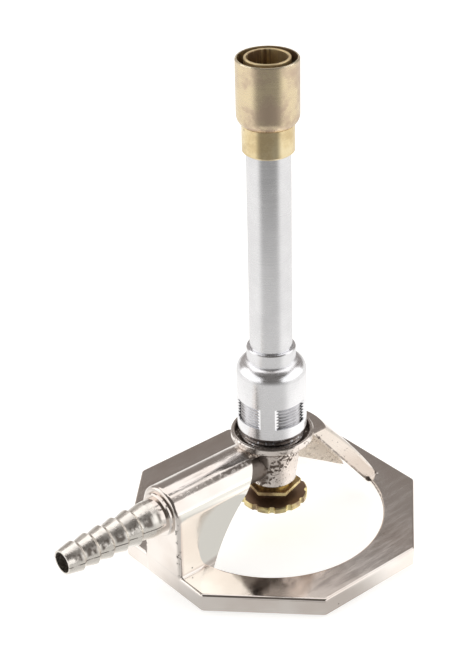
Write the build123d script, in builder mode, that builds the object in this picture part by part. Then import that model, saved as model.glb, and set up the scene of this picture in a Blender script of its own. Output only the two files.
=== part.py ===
from build123d import *
import os

os.makedirs("parts", exist_ok=True)

# Laboratory gas burner with needle valve, screw-type air sleeve and flame stabilizer.
# Millimetres, +Z up. The origin is on the table under the barrel's axis and the hose nipple points along -X.

# ---------------------------------------------------------------- driving dimensions
total_height = 159.0

# Octagonal ring foot
foot_sides = 8
foot_flats = 90.0
foot_height = 6.0
foot_plate = 3.0
foot_skirt = 3.0
foot_opening_r = 35.0
foot_corner_r = 1.8
foot_edge_r = 0.8
foot_draft = 2.0
selector_slack = 0.01

# Bridge across the foot: inlet arm on -X, support arm on +X
arm_half_width = 8.6
arm_edge_r = 1.0
arm_root_r = 0.8
end_edge_r = 1.2
inlet_z = 26.0
inlet_bore_r = 3.25
inlet_wall_r = 4.8
inlet_inner_top = (-12.9, 33.0)
inlet_inner_foot = (-32.1, 3.0)
scoop_depth = 1.3
scoop_rim_r = 12.8
scoop_centre = (-24.5, 13.5)
pocket_wall = 3.0
pocket_inner_top = (-27.6, 17.5)
pocket_inner_foot = (-36.3, 3.0)
support_top = (17.3, 34.3)
support_middle = (29.6, 19.6)
support_foot = (39.4, 5.8)
support_inner_top = (9.5, 34.3)
support_inner_foot = (35.3, 3.0)
rib_thickness = 3.0
rib_column = (6.0, 24.6)
rib_foot = (29.7, 9.9)
rib_depth = (0.8, 0.6)
rib_top = (12.5, 32.5)

# Hose nipple, from its root on the end plate to its tip
nipple_collar_r = 7.0
nipple_collar = 1.3
nipple_collar_edge = 0.4
nipple_overlap = 1.0
boss_end = 3.0
nipple_root_r = 5.7
nipple_root_end = 50.5
nipple_tip = 80.6
nipple_tip_r = 3.8
barb_count = 5
barb_pitch = 5.0
barb_first = 75.8
barb_first_crest_r = 4.75
barb_first_valley_r = 4.05
barb_growth = 0.24
valley_growth = 0.2
barb_step = 1.1

# Column and dish
column_bottom_z = 18.8
column_bottom_r = 7.4
column_top_r = 8.7
column_flare_z = 30.5
column_edge = 0.5
dish_flare_r = 5.0
dish_edge = 0.5
rim_edge = 0.3
dish_r = 12.9
dish_rim_z = 36.8
dish_skirt = 2.4
dish_wall = 1.3
dish_floor_z = 34.6
chamber_r = 3.0
spud_socket_r = 5.5
spud_socket_z = 29.8
nut_socket_r = 4.65
nut_socket_z = 22.2

# Screw thread between spud and air sleeve, 24 turns to the inch
thread_pitch = 25.4 / 24
thread_depth = 0.55
spud_r = 9.95
spud_top_z = 52.0
spud_bore_r = 2.6
spud_edge = 0.5
spud_end_gap = 0.2
spud_relief = 0.8
gasket_thickness = 0.6
gasket_inset = 0.6
gasket_gap = 0.1
thread_gap = 0.05
sleeve_thread_depth = 0.4
sleeve_thread_turns = 12

# Air sleeve
sleeve_r = 10.72
sleeve_bottom_z = 38.8
sleeve_shoulder_z = 58.3
sleeve_dome_r = 4.4
sleeve_neck_r = 7.5
sleeve_top_z = 67.0
sleeve_ledge_z = 61.5
sleeve_ledge = 1.0
sleeve_bore_drop = 1.5
sleeve_edge = 0.25
sleeve_lead_in = 0.3
sleeve_neck_edge = 0.3
window_count = 4
window_flat = 8.97
window_bottom_z = 42.7
window_top_z = 49.9
window_turn = -3.1

# Mixing tube and flame stabilizer
tube_r = 6.5
tube_bore_r = 5.5
running_gap = 0.05
collar_r = 7.6
collar_bottom_z = 130.7
collar_chamfer = 0.6
collar_top_z = 139.35
tube_top_z = 138.0
nozzle_r = 6.67
nozzle_bore_r = 5.77
nozzle_edge = 0.2
shell_r = 9.07
shell_bore_r = 8.5
shell_top_z = 158.8
shell_floor = 2.0
shell_shoulder_z = 142.3
shell_foot_r = 7.5
shell_edge = 0.25
pilot_port_r = 0.6
pilot_port_count = 8
pilot_port_z = 145.0
pilot_port_reach = 1.0

# Gas jet and needle valve
jet_thread_r = 3.2
jet_bottom_z = 45.2
jet_hex_flats = 8.0
jet_head = 2.6
jet_edge = 0.4
jet_bore_r = 2.0
jet_seat_z = 50.0
jet_orifice_z = 52.0
jet_orifice_r = 0.5
nut_flats = 15.0
nut_turn = -13.3
nut_bottom_z = 15.8
nut_hex_top_z = 17.3
nut_edge = 0.35
nut_shoulder_r = 5.6
nut_washer = 0.5
nut_washer_overhang = 0.3
nut_end_gap = 0.1
packing_seat_z = 20.0
packing_bore_r = 3.5
packing_height = 1.3
snug_gap = 0.02
stem_r = 2.35
needle_r = 1.4
needle_point_r = 0.3
needle_shoulder_z = 49.5
needle_point_z = 51.4
needle_neck_z = (24.0, 25.0)
knob_r = 10.9
knob_bottom_z = 11.3
knob_rim_z = 13.5
knob_hub_r = 4.8
knob_hub_z = 14.6
knob_scallops = 12
knob_scallop_r = 1.1
knob_scallop_depth = 1.0
knob_scallop_turn = 16.7
knob_edge = 0.4
knob_hub_foot = 0.5
knob_hub_edge = 0.3
knob_pin_r = 2.0
screw_r = 1.0
screw_head_r = 2.9
screw_head = 1.5
screw_head_edge = 0.6
screw_slot = 0.7
screw_reach = 1.0
screw_hole_reach = 1.5
lock_washer = 0.4
lock_washer_gap = 0.1
lock_washer_inset = 0.2


# ---------------------------------------------------------------- shared steps
def turned(outline, mode=Mode.ADD):
    """Revolve a closed outline of (radius, height) points about the burner's axis."""
    with BuildSketch(Plane.XZ) as section:
        with BuildLine():
            Polyline(*outline, close=True)
        make_face()
    revolve(section.sketch, axis=Axis.Z, mode=mode)


def bored(radius, bottom, top):
    """Cut a round bore on the burner's axis between two heights."""
    with BuildSketch(Plane.XY.offset(bottom)) as mouth:
        Circle(radius)
    extrude(mouth.sketch, amount=top - bottom, mode=Mode.SUBTRACT)


def ring(inner, outer, bottom, top):
    """Add a flat ring on the burner's axis."""
    turned([(inner, bottom), (outer, bottom), (outer, top), (inner, top)])


def hexagon(flats, turn, bottom, top):
    """Add a hexagonal prism with its first flat facing the given angle."""
    with BuildSketch(Plane.XY.offset(bottom)) as outline:
        RegularPolygon(flats / 2, 6, major_radius=False, rotation=turn + 30)
    extrude(outline.sketch, amount=top - bottom)


def thread_outline(radius, depth, pitch, bottom, top):
    """Points down the outside of a screw thread, from its top crest to its bottom crest."""
    points = []
    crests = round((top - bottom) / pitch)
    for turn in range(crests):
        crest_z = top - turn * pitch
        points += [(radius, crest_z), (radius, crest_z - pitch / 8), (radius - depth, crest_z - pitch / 2)]
        points += [(radius - depth, crest_z - pitch * 5 / 8)]
    return points + [(radius, top - crests * pitch)]


# ---------------------------------------------------------------- support arm, merged into the casting below
with BuildPart() as support_arm:
    with BuildSketch(Plane.XZ):
        with BuildLine():
            Line((0, support_top[1]), support_top)
            ThreePointArc(support_top, support_middle, support_foot)
            Polyline(
                support_foot,
                (support_foot[0], support_inner_foot[1]),
                (0, support_inner_foot[1]),
                (0, support_top[1]),
            )
        make_face()
    revolve(axis=Axis.Z)
    with Locations((foot_flats / 4, 0, total_height / 2)):
        Box(foot_flats / 2, 2 * arm_half_width, total_height, mode=Mode.INTERSECT)
    flank_edges = support_arm.edges().filter_by(
        lambda edge: abs(edge.center().Y) > arm_half_width - selector_slack
    )
    fillet(flank_edges.filter_by(GeomType.LINE, reverse=True), arm_edge_r)

    # Flat underside, stiffened by a rib that runs out from the column
    with BuildSketch(Plane.XZ):
        with BuildLine():
            Polyline((0, 0), (support_inner_foot[0], 0), support_inner_foot, support_inner_top,
                     (0, support_inner_top[1]), close=True)
        make_face()
    extrude(amount=arm_half_width, both=True, mode=Mode.SUBTRACT)
    with BuildSketch(Plane.XZ):
        with BuildLine():
            Polyline(rib_column, rib_foot, (rib_foot[0] + rib_depth[0], rib_foot[1] + rib_depth[1]),
                     rib_top, (rib_column[0], rib_top[1]), close=True)
        make_face()
    extrude(amount=rib_thickness / 2, both=True)

# ---------------------------------------------------------------- inlet arm, merged into the casting below
with BuildPart() as inlet_arm:
    with BuildSketch(Plane.YZ.offset(-foot_flats / 2)):
        with Locations((0, inlet_z)):
            Circle(arm_half_width)
        with Locations((0, inlet_z / 2)):
            Rectangle(2 * arm_half_width, inlet_z)
    extrude(amount=foot_flats / 2)
    fillet(inlet_arm.faces().sort_by(Axis.X)[0].edges(), end_edge_r)
    with BuildSketch(Plane.XZ):
        with BuildLine():
            Polyline((0, 0), (inlet_inner_foot[0], 0), inlet_inner_foot, inlet_inner_top,
                     (0, inlet_inner_top[1]), close=True)
        make_face()
    extrude(amount=arm_half_width, both=True, mode=Mode.SUBTRACT)
    scoop_r = (scoop_rim_r**2 + scoop_depth**2) / (2 * scoop_depth)
    for side in (-1, 1):
        with Locations((scoop_centre[0], side * (arm_half_width - scoop_depth + scoop_r), scoop_centre[1])):
            Sphere(scoop_r, mode=Mode.SUBTRACT)

# ---------------------------------------------------------------- base casting
with BuildPart() as base_casting:
    with BuildSketch(Plane.XY.offset(foot_height)) as foot_outline:
        RegularPolygon(foot_flats / 2, foot_sides, major_radius=False, rotation=180 / foot_sides)
        fillet(foot_outline.vertices(), foot_corner_r)
    extrude(amount=-foot_height, taper=foot_draft)
    fillet(base_casting.faces().sort_by(Axis.Z)[-1].edges(), foot_edge_r)
    bored(foot_opening_r, 0, foot_height)
    with BuildSketch():
        RegularPolygon(foot_flats / 2 - foot_skirt, foot_sides, major_radius=False, rotation=180 / foot_sides)
    extrude(amount=foot_height - foot_plate, mode=Mode.SUBTRACT)
    fillet(base_casting.edges().filter_by(GeomType.CIRCLE).group_by(SortBy.RADIUS)[-1], foot_edge_r)
    add(support_arm.part)
    add(inlet_arm.part)
    top_edges = base_casting.edges().filter_by(GeomType.LINE).filter_by_position(
        Axis.Z, foot_height - selector_slack, foot_height + selector_slack
    )
    inlet_root_edges = top_edges.filter_by(
        lambda edge: edge.center().X < 0 and abs(abs(edge.center().Y) - arm_half_width) < selector_slack
    )
    fillet(inlet_root_edges, arm_root_r)

    # Column, flaring out into the dish that holds the spud
    dish_bottom_z = dish_rim_z - dish_skirt
    with BuildSketch(Plane.XZ):
        with BuildLine():
            Polyline((0, dish_floor_z), (0, column_bottom_z),
                     (column_bottom_r - column_edge, column_bottom_z),
                     (column_bottom_r, column_bottom_z + column_edge), (column_top_r, column_flare_z))
            RadiusArc((column_top_r, column_flare_z), (dish_r - dish_edge, dish_bottom_z), dish_flare_r)
            Polyline((dish_r - dish_edge, dish_bottom_z), (dish_r, dish_bottom_z + dish_edge),
                     (dish_r, dish_rim_z - rim_edge), (dish_r - rim_edge, dish_rim_z),
                     (dish_r - dish_wall, dish_rim_z),
                     (dish_r - dish_wall, dish_floor_z), (0, dish_floor_z))
        make_face()
    revolve(axis=Axis.Z)

    # Hose nipple: collar and root cylinder at the end plate, then a taper of saw-tooth barbs
    gas_line = Axis((0, 0, inlet_z), (-1, 0, 0))
    nipple_root = foot_flats / 2 - nipple_overlap
    with BuildSketch(Plane.XZ):
        with BuildLine():
            outline = [(-nipple_root, 0), (-nipple_root, nipple_collar_r)]
            outline += [(-foot_flats / 2 - nipple_collar + nipple_collar_edge, nipple_collar_r)]
            outline += [(-foot_flats / 2 - nipple_collar, nipple_collar_r - nipple_collar_edge)]
            outline += [(-foot_flats / 2 - nipple_collar, nipple_root_r), (-nipple_root_end, nipple_root_r)]
            for barb in reversed(range(barb_count)):
                crest_x = -(barb_first - barb * barb_pitch)
                outline += [(crest_x + barb_step, barb_first_valley_r + barb * valley_growth)]
                outline += [(crest_x, barb_first_crest_r + barb * barb_growth)]
            outline += [(-nipple_tip, nipple_tip_r), (-nipple_tip, 0)]
            Polyline(*[(x, inlet_z + radius) for x, radius in outline], close=True)
        make_face()
    revolve(axis=gas_line)

    # Gas passage: a boss from the arm to the column, then the bores
    with BuildSketch(Plane.YZ.offset(-nipple_root)):
        with Locations((0, inlet_z)):
            Circle(inlet_wall_r)
    extrude(amount=nipple_root - boss_end)
    with BuildSketch(Plane.YZ.offset(-nipple_tip)):
        with Locations((0, inlet_z)):
            Circle(inlet_bore_r)
    extrude(amount=nipple_tip, mode=Mode.SUBTRACT)
    bored(chamber_r, nut_socket_z, dish_floor_z)
    bored(spud_socket_r, spud_socket_z, dish_rim_z)
    bored(nut_socket_r, column_bottom_z, nut_socket_z)

    # Cored-out underside of the inlet arm
    with BuildSketch(Plane.XZ):
        with BuildLine():
            Polyline(
                (-foot_flats / 2 + pocket_wall, 0),
                (-foot_flats / 2 + pocket_wall, pocket_inner_top[1]),
                pocket_inner_top,
                pocket_inner_foot,
                (pocket_inner_foot[0], 0),
                close=True,
            )
        make_face()
    extrude(amount=arm_half_width - pocket_wall, both=True, mode=Mode.SUBTRACT)

# ---------------------------------------------------------------- spud, gasket and gas jet
spud_base_z = dish_floor_z + gasket_thickness

with BuildPart() as spud_gasket:
    ring(spud_socket_r + gasket_gap, spud_r - gasket_inset, dish_floor_z, spud_base_z)

with BuildPart() as threaded_spud:
    thread_top = spud_top_z - spud_edge
    spud_bottom_z = spud_socket_z + spud_end_gap
    outline = [(spud_bore_r, spud_bottom_z), (spud_socket_r - thread_gap, spud_bottom_z)]
    outline += [(spud_socket_r - thread_gap, spud_base_z), (spud_r - thread_depth, spud_base_z)]
    thread_foot = spud_base_z + spud_relief
    outline += reversed(thread_outline(spud_r, thread_depth, thread_pitch, thread_foot, thread_top))
    outline += [(spud_r - spud_edge, spud_top_z), (spud_bore_r, spud_top_z)]
    turned(outline)
    bored(jet_thread_r + thread_gap, jet_bottom_z, spud_top_z)

with BuildPart() as gas_jet:
    hexagon(jet_hex_flats, 0, spud_top_z, spud_top_z + jet_head)
    chamfer(gas_jet.faces().sort_by(Axis.Z)[-1].edges(), jet_edge)
    ring(0, jet_thread_r, jet_bottom_z, spud_top_z)
    turned([(0, jet_bottom_z), (jet_bore_r, jet_bottom_z), (jet_bore_r, jet_seat_z),
            (jet_orifice_r, jet_orifice_z), (0, jet_orifice_z)], mode=Mode.SUBTRACT)
    bored(jet_orifice_r, jet_orifice_z, spud_top_z + jet_head)

# ---------------------------------------------------------------- packing gland under the column
nut_top_z = column_bottom_z - nut_washer

with BuildPart() as packing_nut_washer:
    ring(nut_socket_r + thread_gap, nut_shoulder_r + nut_washer_overhang, nut_top_z, column_bottom_z)

with BuildPart() as packing_nut:
    hexagon(nut_flats, nut_turn, nut_bottom_z, nut_hex_top_z)
    chamfer(packing_nut.faces().sort_by(Axis.Z)[0].edges(), nut_edge)
    ring(0, nut_shoulder_r, nut_hex_top_z, nut_top_z)
    ring(0, nut_socket_r - thread_gap, nut_top_z, nut_socket_z - nut_end_gap)
    bored(stem_r + running_gap, nut_bottom_z, nut_socket_z)
    bored(packing_bore_r, packing_seat_z, nut_socket_z)

with BuildPart() as stem_packing:
    ring(stem_r + running_gap, packing_bore_r - snug_gap, packing_seat_z, packing_seat_z + packing_height)

with BuildPart() as packing_washer:
    ring(stem_r + running_gap, packing_bore_r - thread_gap, packing_seat_z + packing_height, nut_socket_z)

# ---------------------------------------------------------------- needle stem, knob and its screw
with BuildPart() as needle_stem:
    turned([(0, knob_bottom_z + running_gap), (knob_pin_r, knob_bottom_z + running_gap),
            (knob_pin_r, knob_hub_z + snug_gap), (stem_r, knob_hub_z + snug_gap), (stem_r, needle_neck_z[0]),
            (needle_r, needle_neck_z[1]), (needle_r, needle_shoulder_z),
            (needle_point_r, needle_point_z), (0, needle_point_z)])
    bored(screw_r + running_gap, knob_bottom_z, knob_hub_z + screw_hole_reach)

with BuildPart() as valve_knob:
    turned([(knob_pin_r + running_gap, knob_bottom_z), (knob_r - knob_edge, knob_bottom_z),
            (knob_r, knob_bottom_z + knob_edge), (knob_r, knob_rim_z - knob_edge),
            (knob_r - knob_edge, knob_rim_z), (knob_hub_r + knob_hub_foot, knob_rim_z),
            (knob_hub_r, knob_rim_z + knob_hub_edge), (knob_hub_r, knob_hub_z - knob_hub_edge),
            (knob_hub_r - knob_hub_edge, knob_hub_z), (knob_pin_r + running_gap, knob_hub_z)])
    scallop_circle_r = knob_r + knob_scallop_r - knob_scallop_depth
    with BuildSketch(Plane.XY.offset(knob_bottom_z)):
        with PolarLocations(scallop_circle_r, knob_scallops, start_angle=knob_scallop_turn):
            Circle(knob_scallop_r)
    extrude(amount=knob_rim_z - knob_bottom_z, mode=Mode.SUBTRACT)

with BuildPart() as knob_lock_washer:
    washer_bore_r = screw_r + lock_washer_gap
    washer_r = screw_head_r - lock_washer_inset
    ring(washer_bore_r, washer_r, knob_bottom_z - lock_washer, knob_bottom_z)

with BuildPart() as knob_screw:
    head_top_z = knob_bottom_z - lock_washer
    turned([(0, head_top_z - screw_head), (screw_head_r - screw_head_edge, head_top_z - screw_head),
            (screw_head_r, head_top_z - screw_head + screw_head_edge), (screw_head_r, head_top_z),
            (screw_r, head_top_z), (screw_r, knob_hub_z + screw_reach), (0, knob_hub_z + screw_reach)])
    with Locations((0, 0, head_top_z - screw_head)):
        Box(3 * screw_head_r, screw_slot, 2 * screw_slot, mode=Mode.SUBTRACT)

# ---------------------------------------------------------------- air sleeve
with BuildPart() as air_sleeve:
    dome_centre_r = sleeve_r - sleeve_dome_r
    dome_top_z = sleeve_shoulder_z + (sleeve_dome_r**2 - (sleeve_neck_r - dome_centre_r) ** 2) ** 0.5
    inner_r = spud_r + thread_gap
    with BuildSketch(Plane.XZ):
        with BuildLine():
            Polyline((inner_r, sleeve_bottom_z + sleeve_lead_in), (inner_r + sleeve_lead_in, sleeve_bottom_z),
                     (sleeve_r - sleeve_edge, sleeve_bottom_z), (sleeve_r, sleeve_bottom_z + sleeve_edge),
                     (sleeve_r, sleeve_shoulder_z))
            RadiusArc((sleeve_r, sleeve_shoulder_z), (sleeve_neck_r, dome_top_z), -sleeve_dome_r)
            Polyline((sleeve_neck_r, dome_top_z), (sleeve_neck_r, sleeve_top_z - sleeve_neck_edge),
                     (sleeve_neck_r - sleeve_neck_edge, sleeve_top_z), (tube_r + running_gap, sleeve_top_z),
                     (tube_r + running_gap, sleeve_ledge_z), (tube_bore_r, sleeve_ledge_z),
                     (tube_bore_r, sleeve_ledge_z - sleeve_ledge))
            Line((tube_bore_r, sleeve_ledge_z - sleeve_ledge),
                 (inner_r, sleeve_shoulder_z - sleeve_bore_drop))
            thread_bottom_z = spud_top_z - sleeve_thread_turns * thread_pitch
            Polyline((inner_r, sleeve_shoulder_z - sleeve_bore_drop),
                     *thread_outline(
                         inner_r, -sleeve_thread_depth, thread_pitch, thread_bottom_z, spud_top_z
                     ),
                     (inner_r, sleeve_bottom_z + sleeve_lead_in))
        make_face()
    revolve(axis=Axis.Z)
    window_height = window_top_z - window_bottom_z
    window_depth = 2 * (sleeve_r - window_flat)
    with Locations((0, 0, window_bottom_z + window_height / 2)):
        with PolarLocations(window_flat + window_depth / 2, window_count, start_angle=window_turn):
            Box(window_depth, 2 * sleeve_r, window_height, mode=Mode.SUBTRACT)

# ---------------------------------------------------------------- mixing tube and flame stabilizer
with BuildPart() as mixing_tube:
    ring(tube_bore_r, tube_r, sleeve_ledge_z + running_gap, tube_top_z)

with BuildPart() as stabilizer_nozzle:
    socket_r = tube_r + running_gap
    socket_top_z = tube_top_z + running_gap
    turned([(socket_r, collar_bottom_z), (collar_r - collar_chamfer, collar_bottom_z),
            (collar_r, collar_bottom_z + collar_chamfer), (collar_r, collar_top_z), (nozzle_r, collar_top_z),
            (nozzle_r, total_height - nozzle_edge), (nozzle_r - nozzle_edge, total_height),
            (nozzle_bore_r + nozzle_edge, total_height), (nozzle_bore_r, total_height - nozzle_edge),
            (nozzle_bore_r, socket_top_z), (socket_r, socket_top_z)])
    with Locations((0, 0, pilot_port_z)):
        with PolarLocations(0, pilot_port_count):
            with Locations(Rotation(0, 90, 0)):
                Cylinder(pilot_port_r, nozzle_r + pilot_port_reach,
                         align=(Align.CENTER, Align.CENTER, Align.MIN), mode=Mode.SUBTRACT)

with BuildPart() as stabilizer_shell:
    # The rounded shoulder leaves the straight wall smoothly and ends just inside the collar's edge
    shell_shoulder = (shell_r, shell_shoulder_z)
    shell_foot = (shell_foot_r, collar_top_z)
    shell_floor_z = collar_top_z + shell_floor
    with BuildSketch(Plane.XZ) as shell_section:
        with BuildLine():
            TangentArc(shell_shoulder, shell_foot, tangent=(0, -1))
            Polyline(shell_foot, (nozzle_r, collar_top_z), (nozzle_r, shell_floor_z),
                     (shell_bore_r, shell_floor_z), (shell_bore_r, shell_top_z),
                     (shell_r - shell_edge, shell_top_z), (shell_r, shell_top_z - shell_edge),
                     shell_shoulder)
        make_face()
    revolve(shell_section.sketch, axis=Axis.Z)

# ---------------------------------------------------------------- export
pieces = {
    "base_casting": base_casting,
    "spud_gasket": spud_gasket,
    "threaded_spud": threaded_spud,
    "gas_jet": gas_jet,
    "packing_nut_washer": packing_nut_washer,
    "packing_nut": packing_nut,
    "stem_packing": stem_packing,
    "packing_washer": packing_washer,
    "needle_stem": needle_stem,
    "valve_knob": valve_knob,
    "knob_lock_washer": knob_lock_washer,
    "knob_screw": knob_screw,
    "air_sleeve": air_sleeve,
    "mixing_tube": mixing_tube,
    "stabilizer_nozzle": stabilizer_nozzle,
    "stabilizer_shell": stabilizer_shell,
}
for name, piece in pieces.items():
    piece.part.label = name
    export_step(piece.part, f"parts/{name}.step")
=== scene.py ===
import math

import bpy
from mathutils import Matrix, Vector


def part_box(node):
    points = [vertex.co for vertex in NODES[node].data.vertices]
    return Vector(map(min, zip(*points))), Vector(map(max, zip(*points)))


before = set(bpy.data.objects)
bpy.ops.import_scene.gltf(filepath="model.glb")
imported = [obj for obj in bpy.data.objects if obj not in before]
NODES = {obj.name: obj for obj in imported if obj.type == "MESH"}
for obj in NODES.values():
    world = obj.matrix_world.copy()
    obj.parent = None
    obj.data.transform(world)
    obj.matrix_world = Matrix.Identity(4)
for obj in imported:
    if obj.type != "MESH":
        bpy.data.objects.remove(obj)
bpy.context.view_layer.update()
scene = bpy.context.scene

# ---------------------------------------------------------------- camera and studio
CAMERA_PLACE = (-0.2839413, -0.3289492, 0.3248980)
CAMERA_TURN = (1.0454, 0.0216, -0.7012)
CAMERA_LENS, CAMERA_SENSOR = 91.84, 36.0
CAMERA_NEAREST = 0.01

STUDIO_TURN = math.radians(-40.8)  # the studio is square to the camera's bearing


def studio(right, away, up):
    """A point given as right of, away from and above the object as the camera sees it."""
    c, s = math.cos(STUDIO_TURN), math.sin(STUDIO_TURN)
    return Vector((right * c - away * s, right * s + away * c, up))


RIGHT, AWAY = studio(1, 0, 0), studio(0, 1, 0)
FLOOR_HALF, FLOOR_Z = 6.0, -0.00005

# ---------------------------------------------------------------- places on the burner, in metres
# Taken from the frame
END_PLATE_X = -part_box("base_casting")[1].y  # the inlet arm ends flush with the foot's side
SLEEVE_FOOT_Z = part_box("air_sleeve")[0].z
SHELL_FOOT_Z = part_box("stabilizer_shell")[0].z
SHELL_TOP_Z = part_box("stabilizer_shell")[1].z

# The CAD's own dimensions, and the spans of x and z that hold the boss and the rib
FOOT_TOP_Z = 0.0060
ARM_HALF_WIDTH = 0.0086
GAS_LINE_Z = 0.0260
BARB_PITCH, BARB_CREST_X = 0.0050, -0.0758
COLUMN_R, COLUMN_FOOT_Z = 0.0087, 0.0188
DISH_R, DISH_BORE_R, DISH_FLOOR_Z = 0.0129, 0.0116, 0.0346
BOSS_X = (-0.0180, -0.0055)
INLET_INNER_X = -0.0129
RIB_X, RIB_Z, RIB_HALF_THICKNESS = (0.0070, 0.0310), (0.0090, 0.0335), 0.0015
SUPPORT_INNER_TOP = Vector((0.0095, 0.0, 0.0343))
SUPPORT_INNER_FOOT = Vector((0.0353, 0.0, 0.0030))
SUPPORT_FOOT_X = 0.0394
KNOB_RIM_Z = 0.0135
SHELL_BORE_R, NOZZLE_BORE_R = 0.0085, 0.00577

# The direction square to the support arm's flat underside, and how far out along it the underside lies
SUPPORT_SLOPE = SUPPORT_INNER_FOOT - SUPPORT_INNER_TOP
SUPPORT_OUTWARD = Vector((-SUPPORT_SLOPE.z, 0.0, SUPPORT_SLOPE.x)).normalized()
UNDERSIDE = SUPPORT_OUTWARD.dot(SUPPORT_INNER_TOP)

# Corners of the support arm's flanks darkened as painted shade: x, z and how far it reaches
SHADED_CORNERS = ((0.0118, 0.0318, 0.0008), (0.0168, 0.0344, 0.0011), (0.0378, 0.0068, 0.0011),
                 (0.0336, 0.0060, 0.0011))


def add_camera():
    data = bpy.data.cameras.new("camera")
    data.lens = CAMERA_LENS
    data.sensor_width = CAMERA_SENSOR
    data.clip_start = CAMERA_NEAREST
    camera = bpy.data.objects.new("camera", data)
    scene.collection.objects.link(camera)
    camera.location = CAMERA_PLACE
    camera.rotation_euler = CAMERA_TURN
    scene.camera = camera


def add_panel(name, place, aim, width, height, radiance):
    """A soft rectangular white light of even brightness."""
    data = bpy.data.lights.new(name, "AREA")
    data.shape = "RECTANGLE"
    data.size = width
    data.size_y = height
    data.energy = radiance * math.pi * width * height
    light = bpy.data.objects.new(name, data)
    scene.collection.objects.link(light)
    light.location = place
    light.rotation_euler = (aim - place).to_track_quat("-Z", "Y").to_euler()
    light.visible_camera = False


# ---------------------------------------------------------------- node helpers
class Tree:
    """Adds nodes to one material or world and joins them."""

    def __init__(self, tree):
        self.tree = tree

    def add(self, kind, inputs=None, **settings):
        node = self.tree.nodes.new(kind)
        for key, value in settings.items():
            setattr(node, key, value)
        for key, value in (inputs or {}).items():
            if isinstance(value, bpy.types.NodeSocket):
                self.tree.links.new(value, node.inputs[key])
            else:
                node.inputs[key].default_value = value
        return node

    def math(self, operation, *values):
        return self.add("ShaderNodeMath", dict(enumerate(values)), operation=operation).outputs[0]

    def product(self, *values):
        result = values[0]
        for value in values[1:]:
            result = self.math("MULTIPLY", result, value)
        return result

    def largest(self, *values):
        result = values[0]
        for value in values[1:]:
            result = self.math("MAXIMUM", result, value)
        return result

    def strongest(self, *masks):
        """The largest of several masks, each given with its strength."""
        return self.largest(*[self.math("MULTIPLY", mask, strength) for mask, strength in masks])

    def ramp(self, value, low, high):
        """0 below low, 1 above high and smooth between; falls instead of rising where low is the larger."""
        node = self.add("ShaderNodeMapRange", {"Value": value, "From Min": low, "From Max": high},
                        interpolation_type="SMOOTHSTEP")
        return node.outputs["Result"]

    def band(self, value, low, high, edge):
        """1 between low and high, 0 outside, with soft edges."""
        return self.math("MULTIPLY", self.ramp(value, low, low + edge), self.ramp(value, high, high - edge))

    def mix(self, factor, first, second):
        """A colour between two others."""
        node = self.add("ShaderNodeMix", {0: factor, 6: first, 7: second}, data_type="RGBA")
        return node.outputs[2]

    def blend(self, factor, first, second):
        """A number between two others."""
        node = self.add("ShaderNodeMix", {0: factor, 2: first, 3: second}, data_type="FLOAT")
        return node.outputs[0]

    def noise(self, vector, scale, detail=2.0, roughness=0.5):
        node = self.add("ShaderNodeTexNoise", {"Vector": vector, "Scale": scale, "Detail": detail,
                                               "Roughness": roughness})
        return node.outputs[0]

    def specks(self, vector, scale, share, size):
        """Round spots of random size in the given share of a grid of cells."""
        cells = self.add("ShaderNodeTexVoronoi", {"Vector": vector, "Scale": scale})
        chance = self.add("ShaderNodeSeparateColor", {0: cells.outputs["Color"]})
        chosen = self.math("GREATER_THAN", chance.outputs[0], 1.0 - share)
        reach = self.math("MULTIPLY_ADD", chance.outputs[1], size, size * 0.4)
        spot = self.ramp(self.math("DIVIDE", cells.outputs["Distance"], reach), 1.0, 0.45)
        return self.math("MULTIPLY", chosen, spot)

    def stretched(self, vector, scale, turn=(0.0, 0.0, 0.0)):
        """A vector turned and scaled, so that a noise on it runs in streaks."""
        return self.add("ShaderNodeMapping", {"Vector": vector, "Rotation": turn, "Scale": scale}).outputs[0]

    def along(self, vector, direction):
        """How far a vector reaches along a fixed direction."""
        return self.add("ShaderNodeVectorMath", {0: vector, 1: direction}, operation="DOT_PRODUCT").outputs[1]

    def near(self, vector, point, reach):
        """1 at a point, falling to 0 at a distance from it."""
        gap = self.add("ShaderNodeVectorMath", {0: vector, 1: point}, operation="DISTANCE").outputs[1]
        return self.ramp(gap, reach, 0.4 * reach)

    def bump(self, height, distance, normal=None):
        inputs = {"Height": height, "Distance": distance, "Strength": 1.0}
        if normal is not None:
            inputs["Normal"] = normal
        return self.add("ShaderNodeBump", inputs).outputs[0]


class Surface(Tree):
    """The tree of a new material, with its one Principled shader and the object's own coordinates."""

    def __init__(self, name, metallic):
        self.material = bpy.data.materials.new(name)
        self.material.use_nodes = True
        super().__init__(self.material.node_tree)
        self.shader = self.tree.nodes["Principled BSDF"]
        self.shader.inputs["Metallic"].default_value = metallic
        self.place = self.add("ShaderNodeTexCoord").outputs["Object"]
        self.x, self.y, self.z = self.add("ShaderNodeSeparateXYZ", {0: self.place}).outputs

    def radius(self):
        """Distance from the burner's axis."""
        x_square = self.math("MULTIPLY", self.x, self.x)
        return self.math("SQRT", self.math("MULTIPLY_ADD", self.y, self.y, x_square))

    def lathe_lines(self, pitch):
        """Fine rings left by turning, set by radius and height, that wander a little round the part."""
        wander = self.noise(self.place, 60.0, 1.0)
        rings = self.add("ShaderNodeCombineXYZ", {0: self.math("MULTIPLY", self.radius(), 1.0 / pitch),
                                                  1: self.math("MULTIPLY", wander, 2.0),
                                                  2: self.math("MULTIPLY", self.z, 1.0 / pitch)})
        return self.noise(rings.outputs[0], 1.0, 2.0, 0.6)

    def finished(self, colour, roughness, normal):
        """The material, with the three joined to its shader."""
        for key, value in (("Base Color", colour), ("Roughness", roughness), ("Normal", normal)):
            self.tree.links.new(value, self.shader.inputs[key])
        return self.material


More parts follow.
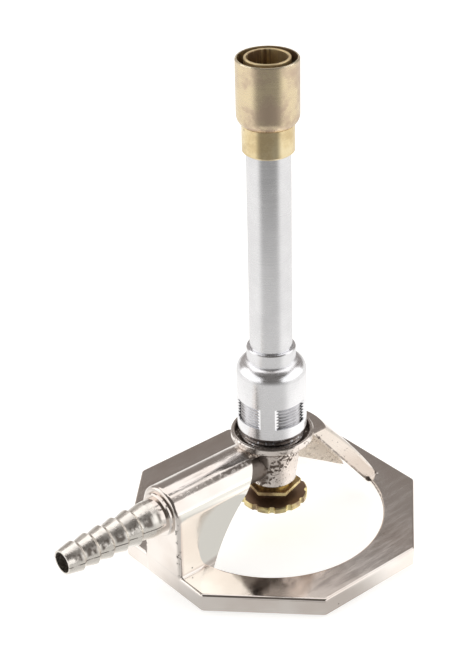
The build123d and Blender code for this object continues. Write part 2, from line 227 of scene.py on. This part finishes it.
# ---------------------------------------------------------------- the nickel-plated casting
NICKEL_PINK, NICKEL_SILVER = (0.73, 0.66, 0.61, 1), (0.82, 0.77, 0.73, 1)
NICKEL_ON_FLANK, NICKEL_SHADED_ON_RIB = (0.72, 0.65, 0.58, 1), (0.58, 0.52, 0.45, 1)
NICKEL_LIT_ON_ARM_SIDES, NICKEL_LIT_ON_NIPPLE = (0.97, 0.95, 0.89, 1), (0.88, 0.86, 0.80, 1)
GRIME_AND_PAINTED_SHADE = (0.070, 0.046, 0.032, 1)


def nipple_marks(tree, grain, coarse):
    """The nipple, patches of painted dark reflection on the upper flank of each barb, and a dark parting line
    along its middle.
    """
    nipple = tree.ramp(tree.x, END_PLATE_X - 0.0024, END_PLATE_X - 0.0040)
    rise = tree.math("SUBTRACT", tree.z, GAS_LINE_Z)
    reach = tree.math("SQRT", tree.math("MULTIPLY_ADD", tree.y, tree.y, tree.math("MULTIPLY", rise, rise)))
    upward = tree.math("DIVIDE", rise, tree.math("MAXIMUM", reach, 0.0005))
    wandering = tree.math("MULTIPLY_ADD", coarse, 0.5, tree.math("SUBTRACT", upward, 0.25))
    blotch = tree.math("MULTIPLY_ADD", grain, 0.45, tree.math("MULTIPLY", coarse, 0.75))
    barb = tree.math("FRACT", tree.math("MULTIPLY_ADD", tree.x, -1.0 / BARB_PITCH, BARB_CREST_X / BARB_PITCH))
    # Painted reflection: dark patches where the barbs' flanks face partly upward, broken into blotches
    patches = tree.product(nipple, tree.band(wandering, 0.16, 0.88, 0.20), tree.band(barb, 0.00, 0.78, 0.20),
                           tree.ramp(blotch, 0.44, 0.66))
    parting = tree.product(nipple, tree.ramp(tree.math("ABSOLUTE", rise), 0.00022, 0.00008),
                           tree.ramp(coarse, 0.32, 0.50))
    return nipple, patches, parting


def column_marks(tree, radius, depth, grain):
    """The column, its pits and a painted dark reflection above a slanted line, and the gas inlet's boss."""
    column = tree.product(tree.ramp(radius, COLUMN_R + 0.0015, COLUMN_R + 0.0007),
                          tree.band(tree.z, COLUMN_FOOT_Z - 0.0006, DISH_FLOOR_Z - 0.0010, 0.0008),
                          tree.ramp(tree.x, -COLUMN_R - 0.0013, -COLUMN_R - 0.0001))
    # The boss is darkened whole in the casting's dark colour: painted shade under the dish
    boss = tree.product(tree.band(tree.x, *BOSS_X, 0.0015),
                        tree.band(tree.z, GAS_LINE_Z - 0.0060, GAS_LINE_Z + 0.0060, 0.0010),
                        tree.ramp(depth, 0.0060, 0.0052))

    # Two slanted lines across the column: painted dark reflection above the steep one, pitted most along the
    # other
    steep_slope, steep_z = 2.95, 0.0372
    pitted_slope, pitted_z = 1.1, 0.0262
    right = tree.along(tree.place, RIGHT)
    above_steep = tree.math("SUBTRACT", tree.z, tree.math("MULTIPLY_ADD", right, steep_slope, steep_z))
    painted_reflection = tree.ramp(above_steep, -0.0006, 0.0006)
    off_pitted = tree.math("SUBTRACT", tree.z, tree.math("MULTIPLY_ADD", right, pitted_slope, pitted_z))
    pit_level = tree.blend(tree.ramp(tree.math("ABSOLUTE", off_pitted), 0.0022, 0.0060), 0.47, 0.60)
    pits = tree.ramp(tree.math("SUBTRACT", grain, pit_level), 0.0, 0.05)
    # The column's dark: real pits, and the painted reflection above the steep line
    dark = tree.math("MULTIPLY", column, tree.largest(pits, tree.math("MULTIPLY", painted_reflection, 0.85)))
    return column, dark, boss


def support_arm_marks(tree, depth, grain):
    """The support arm's flanks, its rib, a dark line along its lower edge and painted shade in its corners.
    """
    flank = tree.product(tree.ramp(depth, ARM_HALF_WIDTH - 0.0006, ARM_HALF_WIDTH - 0.0001),
                         tree.band(tree.x, SUPPORT_INNER_TOP.x, SUPPORT_FOOT_X + 0.0001, 0.0008),
                         tree.ramp(tree.z, FOOT_TOP_Z + 0.0002, FOOT_TOP_Z + 0.0008))
    outward = tree.along(tree.place, SUPPORT_OUTWARD)
    rib = tree.product(tree.ramp(depth, RIB_HALF_THICKNESS + 0.0004, RIB_HALF_THICKNESS + 0.0001),
                       tree.band(tree.x, *RIB_X, 0.0006), tree.band(tree.z, *RIB_Z, 0.0006),
                       tree.ramp(outward, UNDERSIDE + 0.00045, UNDERSIDE - 0.00015))
    # A dark, broken line along the flank's lower edge, next to the underside
    lower_edge_line = tree.product(tree.band(outward, UNDERSIDE - 0.00015, UNDERSIDE + 0.00075, 0.0003),
                        tree.band(depth, ARM_HALF_WIDTH - 0.0007, ARM_HALF_WIDTH + 0.0005, 0.0003),
                        tree.ramp(tree.z, FOOT_TOP_Z + 0.0006, FOOT_TOP_Z + 0.0012),
                        tree.ramp(grain, 0.38, 0.52))
    # Painted shade darkens the corners where the arm meets the dish and the foot
    corners = tree.largest(*[tree.near(tree.place, (x, side * ARM_HALF_WIDTH, z), reach)
                             for x, z, reach in SHADED_CORNERS for side in (-1, 1)])
    return flank, rib, lower_edge_line, corners


def inlet_arm_marks(tree, depth, grain, drawn):
    """The inlet arm's rounded top, its dark streaks, its rough stripe, its sides and the end plate's pits."""
    top = tree.math("MULTIPLY", tree.band(tree.x, END_PLATE_X + 0.0005, INLET_INNER_X + 0.0024, 0.0010),
                    tree.ramp(tree.z, GAS_LINE_Z + 0.0057, GAS_LINE_Z + 0.0063))
    towards_dish = tree.ramp(tree.x, END_PLATE_X + 0.0030, INLET_INNER_X - 0.0051)
    streaks = tree.product(top, towards_dish, tree.ramp(drawn, 0.50, 0.62))
    rough_stripe = tree.product(top, tree.band(tree.y, -0.0060, -0.0042, 0.0005),
                                tree.blend(towards_dish, 0.50, 1.0), tree.ramp(grain, 0.32, 0.54))
    sides = tree.product(tree.band(tree.x, END_PLATE_X + 0.0010, INLET_INNER_X + 0.0009, 0.0010),
                         tree.band(tree.z, FOOT_TOP_Z + 0.0002, GAS_LINE_Z + 0.0040, 0.0015))
    end_edge = tree.product(tree.ramp(tree.x, END_PLATE_X + 0.0012, END_PLATE_X + 0.0004),
                            tree.band(depth, ARM_HALF_WIDTH - 0.0014, ARM_HALF_WIDTH + 0.0004, 0.0004),
                            tree.ramp(tree.z, FOOT_TOP_Z + 0.0002, FOOT_TOP_Z + 0.0008))
    end_pits = tree.math("MULTIPLY", tree.ramp(grain, 0.57, 0.64), end_edge)
    return top, streaks, rough_stripe, sides, end_pits


def dish_marks(tree, radius, grain):
    """The dish's inside, how dark its grime and painted shade are, with bright specks in it, and the dish's
    rim.
    """
    dish = tree.math("MULTIPLY", tree.ramp(radius, DISH_BORE_R + 0.0006, DISH_BORE_R + 0.0002),
                     tree.ramp(tree.z, DISH_FLOOR_Z - 0.0008, DISH_FLOOR_Z - 0.0002))
    sparkle = tree.math("MULTIPLY", tree.ramp(grain, 0.56, 0.62), dish)
    # The inside is darkened almost whole: grime, and painted shade under the sleeve
    dark = tree.math("MULTIPLY", dish, tree.math("SUBTRACT", 0.92, tree.math("MULTIPLY", sparkle, 0.75)))
    rim = tree.math("MULTIPLY", tree.band(radius, DISH_BORE_R - 0.0003, DISH_R + 0.0004, 0.0003),
                    tree.ramp(tree.z, DISH_FLOOR_Z - 0.0006, DISH_FLOOR_Z))
    return dish, dark, rim


def nickel_casting():
    """Nickel, polished where the wheel reached it, rough and grimy in the casting's recesses, with some
    painted light and shade.
    """
    tree = Surface("nickel_plated_casting", 1.0)
    radius = tree.radius()
    depth = tree.math("ABSOLUTE", tree.y)
    grain = tree.noise(tree.place, 900.0, 5.0, 0.65)
    coarse = tree.noise(tree.place, 260.0, 4.0, 0.6)
    clouds = tree.noise(tree.place, 45.0, 3.0)
    drawn = tree.noise(tree.stretched(tree.place, (0.10, 1.0, 1.0)), 700.0, 4.0, 0.65)
    streaks = tree.noise(tree.stretched(tree.place, (1.0, 6.0, 1.0), turn=(0.0, 0.0, 0.6)), 90.0, 4.0, 0.65)

    nipple, patches, parting = nipple_marks(tree, grain, coarse)
    column, column_dark, boss = column_marks(tree, radius, depth, grain)
    flank, rib, lower_edge_line, corners = support_arm_marks(tree, depth, grain)
    arm_top, arm_streaks, rough_stripe, arm_sides, end_pits = inlet_arm_marks(tree, depth, grain, drawn)
    dish, dish_dark, rim = dish_marks(tree, radius, grain)
    rough_cast = tree.largest(nipple, column, dish, rib, boss, tree.math("MULTIPLY", rim, 0.15))
    scattered_pits = tree.specks(tree.place, 300.0, share=0.06, size=0.10)
    flank_pits = tree.math("MULTIPLY", tree.specks(tree.place, 900.0, share=0.30, size=0.30), flank)
    pits = tree.largest(scattered_pits, end_pits, flank_pits)
    rib_dark = tree.math("MULTIPLY", rib, tree.ramp(grain, 0.52, 0.68))
    rim_dark = tree.math("MULTIPLY", rim, tree.ramp(grain, 0.52, 0.62))
    dark = tree.strongest((pits, 0.80), (patches, 0.80), (parting, 0.85), (column_dark, 0.90), (boss, 0.80),
                          (lower_edge_line, 0.60), (dish_dark, 1.0), (corners, 0.85), (arm_streaks, 0.40),
                          (rough_stripe, 0.82), (rib_dark, 0.55), (rim_dark, 0.60))

    tone = tree.mix(tree.ramp(clouds, 0.35, 0.65), NICKEL_PINK, NICKEL_SILVER)
    tone = tree.mix(tree.math("MULTIPLY", flank, 0.6), tone, NICKEL_ON_FLANK)
    # Darker nickel on the rib under the dish: painted shade
    tone = tree.mix(rib, tone, NICKEL_SHADED_ON_RIB)
    # Brighter nickel on the inlet arm's sides: painted light
    tone = tree.mix(arm_sides, tone, NICKEL_LIT_ON_ARM_SIDES)
    # Lighter nickel over the nipple: painted light
    tone = tree.mix(tree.math("MULTIPLY", nipple, 0.6), tone, NICKEL_LIT_ON_NIPPLE)
    # The dark colour serves grime and pits, and painted shade and painted reflections
    colour = tree.mix(dark, tone, GRIME_AND_PAINTED_SHADE)

    roughness = tree.blend(tree.ramp(streaks, 0.35, 0.70), 0.09, 0.16)
    roughness = tree.blend(flank, roughness, 0.27)
    roughness = tree.blend(rough_cast, roughness, tree.blend(tree.ramp(coarse, 0.35, 0.65), 0.20, 0.36))
    roughness = tree.blend(dark, roughness, 0.55)

    foot_top = tree.math("MULTIPLY", tree.band(tree.z, FOOT_TOP_Z - 0.0010, FOOT_TOP_Z + 0.0003, 0.0002), 0.8)
    waves = tree.math("MULTIPLY", tree.noise(tree.place, 70.0, 2.0), tree.math("SUBTRACT", 1.0, foot_top))
    lumps = tree.product(grain, rough_cast, tree.blend(nipple, 1.0, 0.55))
    sunk = tree.largest(pits, corners, parting)
    normal = tree.bump(waves, 0.00016)
    normal = tree.bump(streaks, 0.000003, normal)
    normal = tree.bump(lumps, 0.00014, normal)
    normal = tree.bump(tree.math("MULTIPLY", drawn, arm_top), 0.00006, normal)
    normal = tree.bump(tree.math("SUBTRACT", 1.0, sunk), 0.00015, normal)
    return tree.finished(colour, roughness, normal)


# ---------------------------------------------------------------- the other materials
def turned_aluminium(name, dull, light):
    """Aluminium with lathe lines, specks and painted shade, broken up by noise, round the sleeve's foot."""
    tree = Surface(name, 1.0)
    lines = tree.lathe_lines(0.00016)
    marks = tree.noise(tree.place, 90.0, 5.0, 0.65)
    specks = tree.specks(tree.place, 230.0, share=0.05, size=0.11)
    # Painted shade below the sleeve's foot, broken up by noise, darkens the spud's threads
    shade_below_sleeve = tree.math("MULTIPLY", tree.ramp(tree.z, SLEEVE_FOOT_Z + 0.0005, SLEEVE_FOOT_Z - 0.0001),
                      tree.ramp(tree.noise(tree.place, 900.0, 3.0), 0.62, 0.54))
    dark = tree.strongest((specks, 0.55), (shade_below_sleeve, 0.8))
    colour = tree.mix(dark, tree.mix(tree.ramp(marks, 0.35, 0.7), dull, light), (0.24, 0.19, 0.16, 1))
    roughness = tree.blend(tree.ramp(lines, 0.3, 0.7), 0.20, 0.30)
    roughness = tree.blend(tree.ramp(marks, 0.50, 0.70), roughness, 0.34)
    normal = tree.bump(lines, 0.0000045)
    normal = tree.bump(tree.noise(tree.place, 200.0, 3.0), 0.000010, normal)
    return tree.finished(colour, roughness, normal)


def turned_brass(name, light, dull, tarnish_and_shade, amount, polish, relief=1.0, painted_shade_above=None, bore=None,
                 dull_above=None, painted_highlight_above=None):
    """Brass with lathe lines and tarnish; painted shade, dull or a painted highlight above a height, or sooty
    in a bore.
    """
    tree = Surface(name, 1.0)
    lines = tree.lathe_lines(0.00018)
    patches = tree.noise(tree.place, 110.0, 4.0, 0.6)
    streaks = tree.noise(tree.place, 420.0, 5.0, 0.7)
    tone = tree.mix(tree.ramp(patches, 0.35, 0.65), light, dull)
    clouds = tree.ramp(tree.math("MULTIPLY_ADD", streaks, 0.5, patches), 0.68, 0.92)
    specks = tree.specks(tree.place, 420.0, share=0.10, size=0.16)
    stain_and_shade = tree.strongest((clouds, amount), (specks, 0.7))
    roughness = tree.blend(tree.ramp(lines, 0.3, 0.7), *polish)

    if painted_shade_above is not None:
        # Painted shade over the top above a height, used on the knob's top under the casting
        shaded_top = tree.ramp(tree.z, painted_shade_above - 0.00005, painted_shade_above)
        stain_and_shade = tree.largest(stain_and_shade, tree.math("MULTIPLY", shaded_top, 0.9))
    if bore is not None:
        inside = tree.ramp(tree.radius(), bore + 0.00035, bore + 0.00005)
        runs = tree.noise(tree.stretched(tree.place, (1.0, 1.0, 0.08)), 260.0, 3.0)
        soot = tree.product(inside, tree.ramp(runs, 0.47, 0.55), 0.85)
        stain_and_shade = tree.largest(stain_and_shade, soot)
    if painted_highlight_above is not None:
        # A lighter rim above a height: a painted highlight, used on the shell's top rim
        rim_highlight = tree.ramp(tree.z, painted_highlight_above, painted_highlight_above + 0.0001)
        tone = tree.mix(rim_highlight, tone, (1.0, 0.89, 0.66, 1))
        stain_and_shade = tree.math("MULTIPLY", stain_and_shade, tree.math("SUBTRACT", 1.0, rim_highlight))
    roughness = tree.blend(stain_and_shade, roughness, 0.45)
    if bore is not None:
        roughness = tree.blend(inside, roughness, 0.36)
    if dull_above is not None:
        roughness = tree.blend(tree.ramp(tree.z, dull_above, dull_above + 0.0005), roughness, 0.42)

    normal = tree.bump(lines, 0.000005 * relief)
    normal = tree.bump(tree.noise(tree.place, 260.0, 3.0), 0.000010 * relief, normal)
    return tree.finished(tree.mix(stain_and_shade, tone, tarnish_and_shade), roughness, normal)


def zinc_steel():
    tree = Surface("zinc_plated_steel", 1.0)
    cloud = tree.noise(tree.place, 700.0, 4.0, 0.6)
    colour = tree.mix(tree.ramp(cloud, 0.35, 0.7), (0.62, 0.62, 0.63, 1), (0.45, 0.44, 0.42, 1))
    normal = tree.bump(tree.lathe_lines(0.00015), 0.000006)
    return tree.finished(colour, tree.blend(cloud, 0.25, 0.45), normal)


def pressed_fibre(name, light, dark):
    tree = Surface(name, 0.0)
    grain = tree.noise(tree.place, 1500.0, 4.0, 0.7)
    colour = tree.mix(tree.ramp(grain, 0.35, 0.7), light, dark)
    return tree.finished(colour, tree.blend(grain, 0.65, 0.85), tree.bump(grain, 0.00003))


def give(material, *names):
    """Make a material the only one of each named node."""
    for name in names:
        slots = NODES[name].data.materials
        slots.clear()
        slots.append(material)


# ---------------------------------------------------------------- floor and light
def floor_glow(tree):
    """What the metal mirrors: white paper, brighter on the right, that ends in shade before the object."""
    paper_near, paper_far, paper_lean = 1.32, 0.93, 0.08
    shade_near, shade_far = 0.66, 0.29
    right, away = tree.along(tree.place, RIGHT), tree.along(tree.place, AWAY)
    distance = tree.math("MAXIMUM", tree.radius(), 0.001)
    rightward = tree.math("DIVIDE", right, distance)
    forward = tree.math("DIVIDE", away, tree.math("MULTIPLY", distance, -1.0))
    near_object = tree.math("MULTIPLY_ADD", rightward, paper_lean, paper_near)
    paper = tree.blend(tree.ramp(distance, 0.045, 0.13), near_object, paper_far)
    shade = tree.blend(tree.ramp(distance, 0.18, 0.265), shade_near, shade_far)
    return tree.blend(tree.ramp(forward, 0.48, 0.86), paper, shade)


def pale_floor():
    """A broad floor that glows faintly, like a light table, so it stays pale with only a soft shadow."""
    tree = Surface("pale_floor", 0.0)
    grain = tree.noise(tree.place, 30.0, 2.0)
    colour = tree.mix(grain, (0.80, 0.80, 0.79, 1), (0.84, 0.84, 0.83, 1))
    tree.tree.links.new(colour, tree.shader.inputs["Base Color"])
    for key, value in (("Roughness", 0.8), ("Specular IOR Level", 0.2), ("Emission Strength", 0.58),
                       ("Emission Color", (1.0, 0.995, 0.985, 1))):
        tree.shader.inputs[key].default_value = value

    # The camera sees the pale floor, and everything else sees the glow in its place
    mirrored = tree.add("ShaderNodeEmission", {"Color": (1.0, 0.985, 0.96, 1), "Strength": floor_glow(tree)})
    seen = tree.add("ShaderNodeLightPath").outputs["Is Camera Ray"]
    both = tree.add("ShaderNodeMixShader", {0: seen, 1: mirrored.outputs[0], 2: tree.shader.outputs[0]})
    tree.tree.links.new(both.outputs[0], tree.tree.nodes["Material Output"].inputs["Surface"])

    mesh = bpy.data.meshes.new("floor")
    corners = [(x * FLOOR_HALF, y * FLOOR_HALF, FLOOR_Z) for x, y in ((-1, -1), (1, -1), (1, 1), (-1, 1))]
    mesh.from_pydata(corners, [], [(0, 1, 2, 3)])
    mesh.materials.append(tree.material)
    floor = bpy.data.objects.new("floor", mesh)
    scene.collection.objects.link(floor)


def studio_world():
    """Dim warm surroundings: a brown-grey wall behind the object and a dark room in front of it."""
    world = bpy.data.worlds.new("studio")
    world.use_nodes = True
    tree = Tree(world.node_tree)
    direction = tree.add("ShaderNodeTexCoord").outputs["Generated"]
    leftward = tree.ramp(tree.along(direction, RIGHT), 0.1, -0.6)
    behind = tree.ramp(tree.along(direction, AWAY), -0.25, 0.15)
    wall = tree.mix(leftward, (0.27, 0.245, 0.23, 1), (0.40, 0.37, 0.35, 1))
    colour = tree.mix(behind, (0.125, 0.116, 0.108, 1), wall)
    world.node_tree.links.new(colour, world.node_tree.nodes["Background"].inputs["Color"])
    scene.world = world


add_camera()
pale_floor()
studio_world()
for name, side, radiance in (("softbox_right", 0.95, 1.2), ("softbox_left", -0.95, 1.15)):
    add_panel(name, place=studio(side, -0.50, 0.50), aim=studio(0, -0.50, 0.50), width=2.0, height=1.0,
              radiance=radiance)
# Aimed a hair away from straight down, which keeps its sides square to the studio
add_panel("softbox_over", place=studio(0, 0.56, 1.0), aim=studio(0, 0.561, 0.0), width=1.5, height=1.22,
          radiance=1.05)

# ---------------------------------------------------------------- which piece has which material
give(nickel_casting(), "base_casting")
give(turned_aluminium("bright_aluminium", dull=(0.82, 0.82, 0.84, 1), light=(0.90, 0.90, 0.92, 1)),
     "air_sleeve", "mixing_tube")
give(turned_aluminium("spud_aluminium", dull=(0.60, 0.60, 0.62, 1), light=(0.76, 0.76, 0.78, 1)),
     "threaded_spud")
# The shell's top rim carries a painted highlight
give(turned_brass("shell_brass", light=(0.86, 0.72, 0.48, 1), dull=(0.75, 0.61, 0.44, 1),
                  tarnish_and_shade=(0.52, 0.39, 0.30, 1), amount=0.60, polish=(0.19, 0.29), relief=0.8,
                  bore=SHELL_BORE_R, painted_highlight_above=SHELL_TOP_Z - 0.0003), "stabilizer_shell")
give(turned_brass("nozzle_brass", light=(0.96, 0.82, 0.53, 1), dull=(0.89, 0.72, 0.41, 1),
                  tarnish_and_shade=(0.34, 0.21, 0.12, 1), amount=0.25, polish=(0.09, 0.16), relief=0.35,
                  bore=NOZZLE_BORE_R, dull_above=SHELL_FOOT_Z + 0.00055), "stabilizer_nozzle")
give(turned_brass("gland_brass", light=(0.76, 0.62, 0.30, 1), dull=(0.62, 0.49, 0.27, 1),
                  tarnish_and_shade=(0.20, 0.12, 0.06, 1), amount=0.75, polish=(0.22, 0.34)),
     "packing_nut", "packing_washer", "needle_stem", "gas_jet")
# The knob's top above its rim carries painted shade
give(turned_brass("knob_brass", light=(0.76, 0.66, 0.34, 1), dull=(0.60, 0.48, 0.24, 1),
                  tarnish_and_shade=(0.235, 0.150, 0.125, 1), amount=0.65, polish=(0.22, 0.34), painted_shade_above=KNOB_RIM_Z),
     "valve_knob")
give(zinc_steel(), "knob_screw", "knob_lock_washer")
give(pressed_fibre("red_fibre", light=(0.30, 0.11, 0.06, 1), dark=(0.20, 0.07, 0.04, 1)),
     "spud_gasket", "packing_nut_washer")
give(pressed_fibre("white_packing", light=(0.85, 0.85, 0.83, 1), dark=(0.74, 0.73, 0.70, 1)), "stem_packing")

scene.view_settings.view_transform = "Standard"
